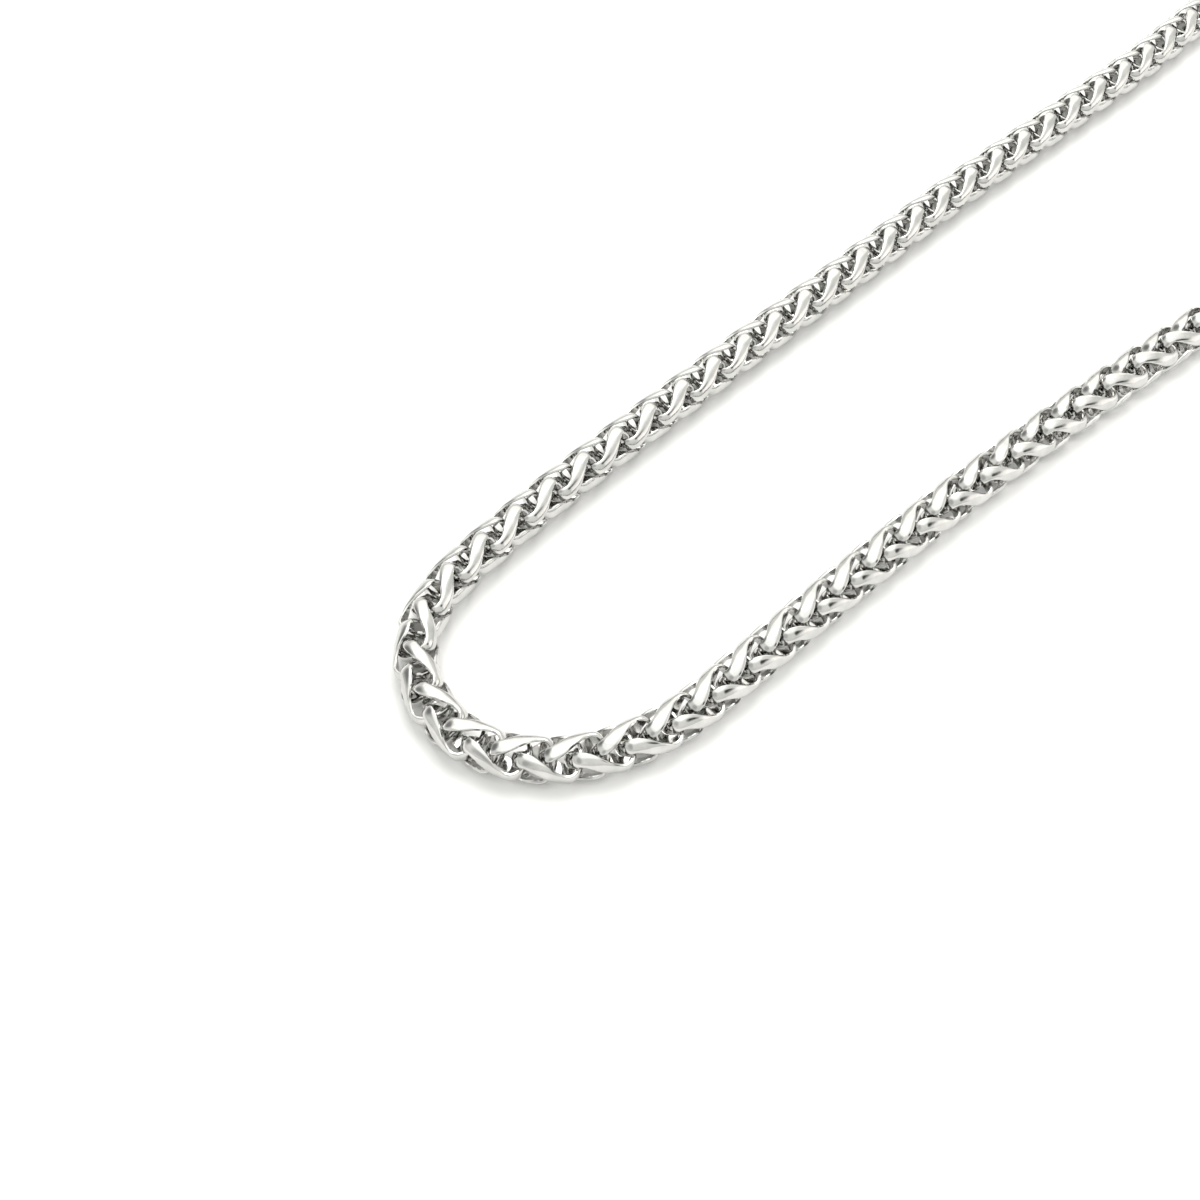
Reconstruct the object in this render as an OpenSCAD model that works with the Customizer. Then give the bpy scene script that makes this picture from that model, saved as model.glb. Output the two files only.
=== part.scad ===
// Woven neck chain lying on a flat surface, a closed loop with a plain barrel clasp.
// Millimetres, +Z up. The origin is under the middle of the whole loop, on the surface.
// The tight front bend is at -Y and the clasp lies across the back, at +Y.

/* [Chain] */
// Width and height of the chain
chain_w = 3; // [2.8:0.05:3]
// Number of flat sides round the chain's solid
chain_sides = 8; // [8:4:12]
// Wanted spacing of the rings along the solid
ring_gap = 7; // [6.5:0.5:9]

/* [Clasp] */
// Length of the clasp
clasp_l = 15; // [13:0.5:15]
// Outer diameter of the clasp
clasp_d = 5; // [4.6:0.1:5]
// Radius of the rounding at the clasp's two ends
clasp_round = 0.7; // [0.3:0.1:0.7]
// Width of the groove round the clasp's middle
seam_w = 0.8; // [0.4:0.1:1]
// Depth of the groove round the clasp's middle
seam_t = 0.25; // [0.1:0.05:0.3]
// Room between the chain's corners and the bore of the clasp
bore_gap = 0.12; // [0.1:0.01:0.15]
// Room between each end of the chain and the bottom of its bore
end_gap = 0.2; // [0.1:0.05:0.3]

/* [Hidden] */

// Distance from the chain's middle line to a corner of its solid
corner_r = chain_w / 2 / cos(180 / chain_sides);
// Height of the chain's middle line where it lies, and of the clasp's axis
lie_z = chain_w / 2;
clasp_z = clasp_d / 2;
// Place of the clasp's axis, and how far from its middle each end of the chain stops
clasp_y = 110.5;
end_x = 3.6;
bore_r = corner_r + bore_gap;
bore_bottom = end_x - end_gap;
// Steps in the clasp's rounded ends and in its groove
round_steps = 6;
seam_steps = 6;

// Middle line of the chain: out of the clasp's left end, down the left side,
// round the front bend, up the right side and into the clasp's right end
ROUTE = [
    [-end_x, clasp_y, clasp_z],
    [-8, clasp_y, clasp_z],
    [-12, 109.9, 2.3],
    [-17, 107.8, 1.8],
    [-22.2, 103.9, lie_z],
    [-27.4, 97.4, lie_z],
    [-30.8, 88.6, lie_z],
    [-32, 78, lie_z],
    [-31.2, 65, lie_z],
    [-28, 50.5, lie_z],
    [-23.1, 36, lie_z],
    [-17.8, 22, lie_z],
    [-13.1, 8, lie_z],
    [-10.2, -6, lie_z],
    [-9.3, -20, lie_z],
    [-9.7, -34, lie_z],
    [-10.2, -48, lie_z],
    [-10.3, -62, lie_z],
    [-10.5, -76, lie_z],
    [-10.6, -90, lie_z],
    [-10.4, -98, lie_z],
    [-9.9, -103.6, lie_z],
    [-8.3, -107.8, lie_z],
    [-5.2, -110.5, lie_z],
    [-1.2, -111.5, lie_z],
    [2.5, -110.7, lie_z],
    [5.6, -108.3, lie_z],
    [7.8, -104.8, lie_z],
    [9, -100.5, lie_z],
    [9.3, -95, lie_z],
    [9.5, -86, lie_z],
    [9.9, -76, lie_z],
    [10.7, -65, lie_z],
    [11.9, -53, lie_z],
    [13.5, -40, lie_z],
    [15.5, -26, lie_z],
    [17.9, -11, lie_z],
    [20.8, 5, lie_z],
    [23.9, 21, lie_z],
    [27, 37, lie_z],
    [29.7, 52, lie_z],
    [31.5, 66, lie_z],
    [32, 78, lie_z],
    [30.8, 88.6, lie_z],
    [27.4, 97.4, lie_z],
    [22.2, 103.9, lie_z],
    [17, 107.8, 1.8],
    [12, 109.9, 2.3],
    [8, clasp_y, clasp_z],
    [end_x, clasp_y, clasp_z]
];
LAST = len(ROUTE) - 1;

// The route with one more point beyond each end, in line with the end chord
function route_point(i) =
    i < 0 ? 2 * ROUTE[0] - ROUTE[1] :
    i > LAST ? 2 * ROUTE[LAST] - ROUTE[LAST - 1] :
    ROUTE[i];

// Point on the smooth curve through the route, t from 0 to 1 between points i and i + 1
function curve(i, t) =
    let (
        a = route_point(i - 1),
        b = route_point(i),
        c = route_point(i + 1),
        d = route_point(i + 2)
    )
    (2 * b + (c - a) * t + (2 * a - 5 * b + 4 * c - d) * t * t
        + (3 * b - a - 3 * c + d) * t * t * t) / 2;

// Direction of that curve
function heading(i, t) =
    let (
        a = route_point(i - 1),
        b = route_point(i),
        c = route_point(i + 1),
        d = route_point(i + 2),
        v = (c - a) + (2 * a - 5 * b + 4 * c - d) * 2 * t + (3 * b - a - 3 * c + d) * 3 * t * t
    )
    v / norm(v);

// Number of rings between points i and i + 1
function steps(i) = max(1, round(norm(ROUTE[i + 1] - ROUTE[i]) / ring_gap));

// Place on the route of every ring, as [point, part of the way to the next]
RINGS = concat([for (i = [0:LAST - 1]) for (k = [0:steps(i) - 1]) [i, k / steps(i)]], [[LAST - 1, 1]]);

// One ring of corners square to the route, with a flat side down
function ring(i, t) =
    let (
        mid = curve(i, t),
        dir = heading(i, t),
        side = cross(dir, [0, 0, 1]) / norm(cross(dir, [0, 0, 1])),
        up = cross(side, dir)
    )
    [for (k = [0:chain_sides - 1])
        let (turn = 360 * (k + 0.5) / chain_sides)
        mid + corner_r * (cos(turn) * side + sin(turn) * up)];

// Rounded corner of the clasp's outline at one end, end being -1 or 1
function clasp_corner(end) =
    [for (k = [0:round_steps])
        let (turn = 90 * (end < 0 ? round_steps - k : k) / round_steps)
        [clasp_d / 2 - clasp_round * (1 - cos(turn)), end * (clasp_l / 2 - clasp_round * (1 - sin(turn)))]];

// Hollow curve of the groove round the clasp's middle
function clasp_seam() =
    [for (k = [-seam_steps:seam_steps])
        let (turn = 90 * k / seam_steps)
        [clasp_d / 2 - seam_t * cos(turn), seam_w / 2 * sin(turn)]];

// The clasp's outline on one side of its axis
function clasp_outline() =
    concat([[0, -clasp_l / 2]], clasp_corner(-1), clasp_seam(), clasp_corner(1), [[0, clasp_l / 2]]);

// The chain as one smooth closed solid round its route
module chain() {
    points = [for (r = RINGS) each ring(r[0], r[1])];
    n = chain_sides;
    ends = len(RINGS) - 1;
    sides = [for (j = [0:ends - 1]) for (k = [0:n - 1])
        [j * n + k, j * n + (k + 1) % n, (j + 1) * n + (k + 1) % n, (j + 1) * n + k]];
    first = [for (k = [n - 1:-1:0]) k];
    last = [for (k = [0:n - 1]) ends * n + k];
    color("silver")
        polyhedron(points = points, faces = concat(sides, [first, last]), convexity = 10);
}

// The clasp: a barrel whose two end bores hold the ends of the chain
module clasp() {
    color("silver")
        translate([0, clasp_y, clasp_z])
            difference() {
                rotate([0, 90, 0])
                    rotate_extrude($fn = 96)
                        polygon(clasp_outline());
                for (side = [-1, 1])
                    rotate([0, side * 90, 0])
                        translate([0, 0, bore_bottom])
                            cylinder(h = clasp_l, r = bore_r, $fn = 96);
            }
}

chain();
clasp();
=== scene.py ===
import math

import bpy
import numpy as np
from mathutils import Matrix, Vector


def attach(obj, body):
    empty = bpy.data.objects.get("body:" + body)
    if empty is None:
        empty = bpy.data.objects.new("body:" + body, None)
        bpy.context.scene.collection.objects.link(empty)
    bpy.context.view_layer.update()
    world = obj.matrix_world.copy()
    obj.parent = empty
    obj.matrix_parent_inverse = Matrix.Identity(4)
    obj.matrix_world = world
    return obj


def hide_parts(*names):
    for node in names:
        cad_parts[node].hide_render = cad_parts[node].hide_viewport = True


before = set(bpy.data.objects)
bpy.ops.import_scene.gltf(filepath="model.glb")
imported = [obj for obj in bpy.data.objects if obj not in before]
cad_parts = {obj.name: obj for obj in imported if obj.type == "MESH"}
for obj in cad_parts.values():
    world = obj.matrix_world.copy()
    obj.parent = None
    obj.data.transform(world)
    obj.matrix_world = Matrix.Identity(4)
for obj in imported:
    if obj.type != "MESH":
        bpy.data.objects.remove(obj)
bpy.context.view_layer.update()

MM = 0.001

# Links of the weave, in metres
CHAIN_W = 3.12 * MM         # across the links, between the flats and the corners of the source's tube
LINK_PITCH = 1.7 * MM       # from one link to the next, half the spacing in one column
LINK_L = 4.70 * MM          # one link from end to end
BEND_L = 0.90 * MM          # length of the rounded end of a link's middle line
BEND_POWER = 0.90           # 1 rounds that end as an ellipse, less makes it squarer
SIDE_BOW = 0.06             # part by which a link is narrower at its ends than in its middle
HEAD_WIDER = 0.05           # part by which the head is wider and the tail narrower than that
TAIL_TURN = 11.0            # degrees by which the tail is turned off the middle of its column
HEAD_TURN = 76.0            # the same for the head, a quarter turn on less 14
TAIL_STRAIGHT = 0.1         # part of the link's length by the tail that isn't twisted
HEAD_STRAIGHT = 0.2         # and by the head
LINKS_PER_PIECE = 75

# Flat wire of the links, in metres
WIRE_W = 0.97 * MM          # its width
WIRE_T = 0.32 * MM          # its thickness
WIRE_CROWN = 0.14 * MM      # drop of its outer face at the edges
CROWN_POWER = 3.0           # 2 domes the whole face evenly, more keeps its middle flat
WIRE_CHAMFER = 0.04 * MM    # broken corner of its edges
FACE_PARTS = (-1, -0.88, -0.7, -0.4, 0, 0.4, 0.7, 0.88, 1)      # its outer face's points, across

# Fineness of the meshes
STATIONS = 56               # sections of the wire round one link
BEND_STEPS = 60             # points on half of a link's rounded end, before they are spaced evenly
SIDE_STEPS = 40             # and on a side
CURVE_STEPS = 40            # straight steps that stand for each stretch between two route points

# Middle line of the chain, in millimetres. It is the source's, but lies 0.05 mm higher on the surface,
# because the links are wider than the source's tube is across its flats
LIE_Z = 1.55
CLASP_Y = 110.5
CLASP_Z = 2.5
END_X = 3.6
ROUTE = [
    (-END_X, CLASP_Y, CLASP_Z), (-8, CLASP_Y, CLASP_Z), (-12, 109.9, 2.3), (-17, 107.8, 1.8),
    (-22.2, 103.9, LIE_Z), (-27.4, 97.4, LIE_Z), (-30.8, 88.6, LIE_Z), (-32, 78, LIE_Z),
    (-31.2, 65, LIE_Z), (-28, 50.5, LIE_Z), (-23.1, 36, LIE_Z), (-17.8, 22, LIE_Z),
    (-13.1, 8, LIE_Z), (-10.2, -6, LIE_Z), (-9.3, -20, LIE_Z), (-9.7, -34, LIE_Z),
    (-10.2, -48, LIE_Z), (-10.3, -62, LIE_Z), (-10.5, -76, LIE_Z), (-10.6, -90, LIE_Z),
    (-10.4, -98, LIE_Z), (-9.9, -103.6, LIE_Z), (-8.3, -107.8, LIE_Z), (-5.2, -110.5, LIE_Z),
    (-1.2, -111.5, LIE_Z), (2.5, -110.7, LIE_Z), (5.6, -108.3, LIE_Z), (7.8, -104.8, LIE_Z),
    (9, -100.5, LIE_Z), (9.3, -95, LIE_Z), (9.5, -86, LIE_Z), (9.9, -76, LIE_Z), (10.7, -65, LIE_Z),
    (11.9, -53, LIE_Z), (13.5, -40, LIE_Z), (15.5, -26, LIE_Z), (17.9, -11, LIE_Z),
    (20.8, 5, LIE_Z), (23.9, 21, LIE_Z), (27, 37, LIE_Z), (29.7, 52, LIE_Z), (31.5, 66, LIE_Z),
    (32, 78, LIE_Z), (30.8, 88.6, LIE_Z), (27.4, 97.4, LIE_Z), (22.2, 103.9, LIE_Z),
    (17, 107.8, 1.8), (12, 109.9, 2.3), (8, CLASP_Y, CLASP_Z), (END_X, CLASP_Y, CLASP_Z),
]

# How far the chain is rolled about its own line, as (part of its length, degrees)
ROLL = [(0.0, 10.0), (0.42, 10.0), (0.46, 20.0), (0.54, 26.0), (0.58, 26.0), (0.635, -8.0), (1.0, -10.0)]

# Polished steel: the tints of its faint clouds, as (part of the noise, colour), and its fine rubbing marks
CLOUD_SCALE = 900.0
CLOUD_TINTS = [(0.35, (0.53, 0.53, 0.52)), (0.65, (0.63, 0.625, 0.61))]
RUB_SCALE = 5200.0
RUB_RANGE = (0.3, 0.7)      # part of the noise that the roughness follows
RUB_ROUGH = (0.07, 0.16)    # from smoothest to roughest
RUB_DEPTH = 0.02 * MM
RUB_STRENGTH = 0.06

# White matt card that the chain lies on
CARD_TONE = 0.86
CARD_ROUGH = 0.9
CARD_SHINE = 0.1
FLOOR_REACH = 20.0          # metres from the middle to each edge

# The lamp: heading anticlockwise from +X and height in degrees, distance and size in metres
LIT_PLACE = Vector((0.0, -0.07, 0.0))       # what it is aimed at
LAMP_PLACE = (135, 66)
LAMP_FAR = 0.60
LAMP_SIZE = 0.44
LAMP_GLOW = 3.2             # radiance
LAMP_TONE = (1.0, 0.985, 0.96)

# The room's tones by height over the horizon in degrees, as parts of its glow
ROOM_GLOW = 1.8
ROOM_TONES = [
    (0, (0.50, 0.50, 0.48)),
    (14, (0.56, 0.56, 0.54)),
    (28, (0.60, 0.60, 0.575)),
    (46, (0.60, 0.60, 0.575)),
    (58, (0.95, 0.95, 0.92)),
    (90, (1.0, 1.0, 0.975)),
]
# Patches over them: heading anticlockwise from +X, height, inner and outer edge in degrees, and tone
ROOM_PATCHES = [
    (125, 42, 22, 34, (1.0, 0.99, 0.94)),
    (42, 6, 8, 26, (1.0, 0.965, 0.93)),
    (200, 32, 4, 32, (0.16, 0.16, 0.16)),
    (284, 30, 6, 24, (0.36, 0.36, 0.36)),
    (20, 33, 2, 15, (0.04, 0.04, 0.04)),
]

# The photo's camera: 101 mm over the surface, off the front right of the bend
CAMERA_PLACE = Vector((50.0, -148.9, 101.0)) * MM
CAMERA_HEADING = 45.0       # degrees from +Y towards -X
CAMERA_DOWN = 53.8          # degrees below the horizon
CAMERA_FOCAL = 1800.0       # in pixels of the photo
CAMERA_NEAR = 0.005         # metres
PHOTO_SIZE = 1200.0         # pixels
SENSOR = 36.0               # millimetres


def new_object(name, data):
    """An object in the scene that holds the given mesh, lamp or camera."""
    obj = bpy.data.objects.new(name, data)
    bpy.context.scene.collection.objects.link(obj)
    return obj


def new_material(name):
    """A material with nodes, and its shader."""
    mat = bpy.data.materials.new(name)
    mat.use_nodes = True
    return mat, mat.node_tree.nodes["Principled BSDF"]


def node(tree, kind, **values):
    """A shader node with its properties and inputs set by name."""
    made = tree.nodes.new(kind)
    for key, value in values.items():
        if hasattr(made, key):
            setattr(made, key, value)
        else:
            made.inputs[key.replace("_", " ")].default_value = value
    return made


def route_curve():
    """The smooth curve through the route, as points in metres and the length up to each."""
    pts = np.array(ROUTE, float) * MM
    pts = np.vstack([2 * pts[0] - pts[1], pts, 2 * pts[-1] - pts[-2]])
    t = (np.arange(CURVE_STEPS) / CURVE_STEPS)[:, None]
    parts = []
    for a, b, c, d in zip(pts, pts[1:], pts[2:], pts[3:]):
        parts.append((2 * b + (c - a) * t + (2 * a - 5 * b + 4 * c - d) * t**2
                      + (3 * b - a - 3 * c + d) * t**3) / 2)
    curve = np.vstack(parts + [pts[-2:-1]])
    length = np.r_[0, np.cumsum(np.linalg.norm(np.diff(curve, axis=0), axis=1))]
    return curve, length


def route_frame(curve, length, s):
    """Place on the curve at length s, and the directions up, right and ahead there."""
    def at(q):
        return np.array([np.interp(q, length, curve[:, k]) for k in range(3)])
    half = LINK_PITCH / 2
    ahead = at(min(s + half, length[-1])) - at(max(s - half, 0))
    ahead /= np.linalg.norm(ahead)
    right = np.cross(ahead, (0, 0, 1))
    right /= np.linalg.norm(right)
    return at(s), np.cross(right, ahead), right, ahead


def wire_section():
    """Outline of the flat wire, as (across, outwards), and the numbers of its sharp corners."""
    hw, ht, c = WIRE_W / 2, WIRE_T / 2, WIRE_CHAMFER
    face = (hw - c) * np.array(FACE_PARTS)
    top = [(u, ht - WIRE_CROWN * abs(u / hw) ** CROWN_POWER) for u in face]
    edge_top = ht - WIRE_CROWN - c / 2
    right = [(hw, edge_top), (hw, -ht + c)]
    bottom = [(hw - c, -ht), (0, -ht), (-hw + c, -ht)]
    left = [(-hw, -ht + c), (-hw, edge_top)]
    outline = top + right + bottom + left
    smooth = top[1:-1] + bottom[1:-1]
    return np.array(outline), [k for k, corner in enumerate(outline) if corner not in smooth]


def link_path():
    """Middle line of one link before it is twisted, as (aside, along), evenly spaced, from the tail."""
    far = LINK_L - WIRE_T
    turn = np.linspace(0, math.pi / 2, BEND_STEPS)
    aside, along = np.sin(turn) ** BEND_POWER, BEND_L * (1 - np.cos(turn) ** BEND_POWER)
    side = np.linspace(BEND_L, far - BEND_L, SIDE_STEPS)[1:-1]
    tail, head = np.c_[aside, along], np.c_[aside, far - along][::-1]
    half = np.vstack([tail, np.c_[np.ones(len(side)), side], head])
    end = 2 * half[:, 1] / far - 1
    half[:, 0] *= (CHAIN_W - WIRE_T) / 2 * (1 - SIDE_BOW * end**2) * (1 + HEAD_WIDER * end)
    ring = np.vstack([half, half[::-1][1:] * (-1, 1)])
    length = np.r_[0, np.cumsum(np.hypot(*np.diff(ring, axis=0).T))]
    even = np.arange(STATIONS) / STATIONS * length[-1]
    return np.c_[np.interp(even, length, ring[:, 0]), np.interp(even, length, ring[:, 1])], far


def link_points():
    """Vertices of one right-hand link, centred on its middle with its head up +Z, by station and corner."""
    path, far = link_path()
    part = np.clip((path[:, 1] / far - TAIL_STRAIGHT) / (1 - TAIL_STRAIGHT - HEAD_STRAIGHT), 0, 1)
    turn = np.radians(TAIL_TURN + (HEAD_TURN - TAIL_TURN) * part * part * (3 - 2 * part))
    mid = np.c_[path[:, 0] * np.cos(turn), path[:, 0] * np.sin(turn), path[:, 1] - far / 2]
    ahead = np.roll(mid, -1, 0) - np.roll(mid, 1, 0)
    ahead /= np.linalg.norm(ahead, axis=1)[:, None]
    across = np.c_[-np.sin(turn), np.cos(turn), np.zeros(STATIONS)]
    across -= (across * ahead).sum(1)[:, None] * ahead
    across /= np.linalg.norm(across, axis=1)[:, None]
    out = np.cross(across, ahead)
    section, _ = wire_section()
    return mid[:, None] + section[None, :, :1] * across[:, None] + section[None, :, 1:] * out[:, None]


def link_faces(corners, flip):
    """Quads of one link's closed wire."""
    faces = []
    for i in range(STATIONS):
        for k in range(corners):
            a, b = i * corners + k, i * corners + (k + 1) % corners
            c = (i + 1) % STATIONS * corners + (k + 1) % corners
            d = (i + 1) % STATIONS * corners + k
            faces.append((d, c, b, a) if flip else (a, b, c, d))
    return np.array(faces)


def chain_links():
    """Placed vertices and faces of every link along the route, in order."""
    curve, length = route_curve()
    usable = length[-1] - LINK_L
    count = int(round(usable / LINK_PITCH)) + 1
    right_hand = link_points()
    left_hand = right_hand * (1, -1, 1)
    corners = right_hand.shape[1]
    faces = [link_faces(corners, False), link_faces(corners, True)]
    links = []
    for i in range(count):
        s = LINK_L / 2 + usable * i / (count - 1)
        place, up, right, ahead = route_frame(curve, length, s)
        roll = math.radians(np.interp(s / length[-1], *zip(*ROLL)))
        x = up * math.cos(roll) + right * math.sin(roll)
        y = right * math.cos(roll) - up * math.sin(roll)
        shape = (left_hand if i % 2 else right_hand).reshape(-1, 3)
        links.append((place + shape @ np.array([x, y, ahead]), faces[i % 2]))
    return links


def link_mesh(name, links, material):
    """One object that holds the given links as closed rings of wire."""
    verts, faces, base = [], [], 0
    for v, f in links:
        verts.append(v)
        faces.append(f + base)
        base += len(v)
    verts, faces = np.vstack(verts), np.vstack(faces)
    mesh = bpy.data.meshes.new(name)
    mesh.from_pydata(verts.tolist(), [], faces.tolist())
    mesh.polygons.foreach_set("use_smooth", np.ones(len(faces), bool))
    section, sharp = wire_section()
    ends = np.empty(len(mesh.edges) * 2, int)
    mesh.edges.foreach_get("vertices", ends)
    a, b = ends.reshape(-1, 2).T % len(section)
    mesh.edges.foreach_set("use_edge_sharp", (a == b) & np.isin(a, sharp))
    mesh.update()
    mesh.materials.append(material)
    return new_object(name, mesh)


def steel():
    """Polished stainless steel with faint cloudiness and fine rubbing marks."""
    mat, shader = new_material("polished_steel")
    tree = mat.node_tree
    link = tree.links.new
    shader.inputs["Metallic"].default_value = 1.0
    where = node(tree, "ShaderNodeTexCoord")
    cloud = node(tree, "ShaderNodeTexNoise", Scale=CLOUD_SCALE, Detail=3.0)
    link(where.outputs["Object"], cloud.inputs["Vector"])
    tint = node(tree, "ShaderNodeValToRGB")
    for stop, (part, colour) in zip(tint.color_ramp.elements, CLOUD_TINTS):
        stop.position = part
        stop.color = (*colour, 1)
    link(cloud.outputs["Fac"], tint.inputs["Fac"])
    link(tint.outputs["Color"], shader.inputs["Base Color"])
    rub = node(tree, "ShaderNodeTexNoise", Scale=RUB_SCALE, Detail=4.0)
    link(where.outputs["Object"], rub.inputs["Vector"])
    rough = node(tree, "ShaderNodeMapRange", From_Min=RUB_RANGE[0], From_Max=RUB_RANGE[1],
                 To_Min=RUB_ROUGH[0], To_Max=RUB_ROUGH[1])
    link(rub.outputs["Fac"], rough.inputs["Value"])
    link(rough.outputs["Result"], shader.inputs["Roughness"])
    bump = node(tree, "ShaderNodeBump", Strength=RUB_STRENGTH, Distance=RUB_DEPTH)
    link(rub.outputs["Fac"], bump.inputs["Height"])
    link(bump.outputs["Normal"], shader.inputs["Normal"])
    return mat


def white_card():
    """Plain white matt card."""
    mat, shader = new_material("white_card")
    shader.inputs["Base Color"].default_value = (CARD_TONE, CARD_TONE, CARD_TONE, 1)
    shader.inputs["Roughness"].default_value = CARD_ROUGH
    shader.inputs["Specular IOR Level"].default_value = CARD_SHINE
    return mat


def make_floor():
    """A wide flat sheet under the chain."""
    mesh = bpy.data.meshes.new("floor")
    r = FLOOR_REACH
    mesh.from_pydata([(-r, -r, 0), (r, -r, 0), (r, r, 0), (-r, r, 0)], [], [(0, 1, 2, 3)])
    mesh.materials.append(white_card())
    obj = new_object("floor", mesh)


def toward(heading, height):
    """Unit vector at a heading anticlockwise from +X and a height over the horizon, in degrees."""
    turn, rise = math.radians(heading), math.radians(height)
    return Vector((math.cos(turn) * math.cos(rise), math.sin(turn) * math.cos(rise), math.sin(rise)))


def make_lamp():
    """The large lamp at the back, which throws the soft shadow towards the camera."""
    lamp = bpy.data.lights.new("lamp_back", "AREA")
    lamp.shape = "DISK"
    lamp.size = LAMP_SIZE
    lamp.energy = LAMP_GLOW * (math.pi * LAMP_SIZE / 2) ** 2
    lamp.color = LAMP_TONE
    obj = new_object("lamp_back", lamp)
    obj.location = LIT_PLACE + toward(*LAMP_PLACE) * LAMP_FAR
    obj.rotation_euler = toward(*LAMP_PLACE).to_track_quat("Z", "Y").to_euler()
    obj.visible_camera = False


def patch(tree, way, under, heading, height, inner, outer, tone):
    """The room's colour with a round patch over it, full up to its inner edge and gone at its outer one."""
    near = node(tree, "ShaderNodeVectorMath", operation="DOT_PRODUCT")
    near.inputs[1].default_value = toward(heading, height)
    tree.links.new(way.outputs["Generated"], near.inputs[0])
    shade = node(tree, "ShaderNodeMapRange", interpolation_type="SMOOTHSTEP",
                 From_Min=math.cos(math.radians(outer)), From_Max=math.cos(math.radians(inner)))
    tree.links.new(near.outputs["Value"], shade.inputs["Value"])
    mix = node(tree, "ShaderNodeMix", data_type="RGBA")
    mix.inputs["B"].default_value = (*tone, 1)
    tree.links.new(under, mix.inputs["A"])
    tree.links.new(shade.outputs["Result"], mix.inputs["Factor"])
    return mix.outputs["Result"]


def make_room():
    """The photo's surroundings: a bright sheet overhead and dimmer walls, with patches on top of these."""
    world = bpy.data.worlds.new("room")
    world.use_nodes = True
    tree = world.node_tree
    back = tree.nodes["Background"]
    back.inputs["Strength"].default_value = ROOM_GLOW
    way = node(tree, "ShaderNodeTexCoord")
    split = node(tree, "ShaderNodeSeparateXYZ")
    tree.links.new(way.outputs["Generated"], split.inputs["Vector"])
    ramp = node(tree, "ShaderNodeValToRGB")
    tree.links.new(split.outputs["Z"], ramp.inputs["Fac"])
    stops = ramp.color_ramp.elements
    while len(stops) < len(ROOM_TONES):
        stops.new(0.5)
    for stop, (height, tone) in zip(stops, ROOM_TONES):
        stop.position = math.sin(math.radians(height))
        stop.color = (*tone, 1)
    tint = ramp.outputs["Color"]
    for values in ROOM_PATCHES:
        tint = patch(tree, way, tint, *values)
    tree.links.new(tint, back.inputs["Color"])
    bpy.context.scene.world = world


def make_camera():
    """The camera at the photo's viewing angle."""
    data = bpy.data.cameras.new("camera")
    data.sensor_width = SENSOR
    data.lens = SENSOR * CAMERA_FOCAL / PHOTO_SIZE
    data.clip_start = CAMERA_NEAR
    cam = new_object("camera", data)
    cam.location = CAMERA_PLACE
    cam.rotation_euler = (math.radians(90 - CAMERA_DOWN), 0, math.radians(CAMERA_HEADING))
    bpy.context.scene.camera = cam


make_camera()
metal = steel()
links = chain_links()
for first in range(0, len(links), LINKS_PER_PIECE):
    name = "chain_links_%d" % (first // LINKS_PER_PIECE + 1)
    piece = link_mesh(name, links[first:first + LINKS_PER_PIECE], metal)
    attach(piece, "root")
    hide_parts("chain")
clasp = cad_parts["clasp"]
clasp.data.materials.clear()
clasp.data.materials.append(metal)
make_floor()
make_lamp()
make_room()
bpy.context.scene.view_settings.view_transform = "Standard"
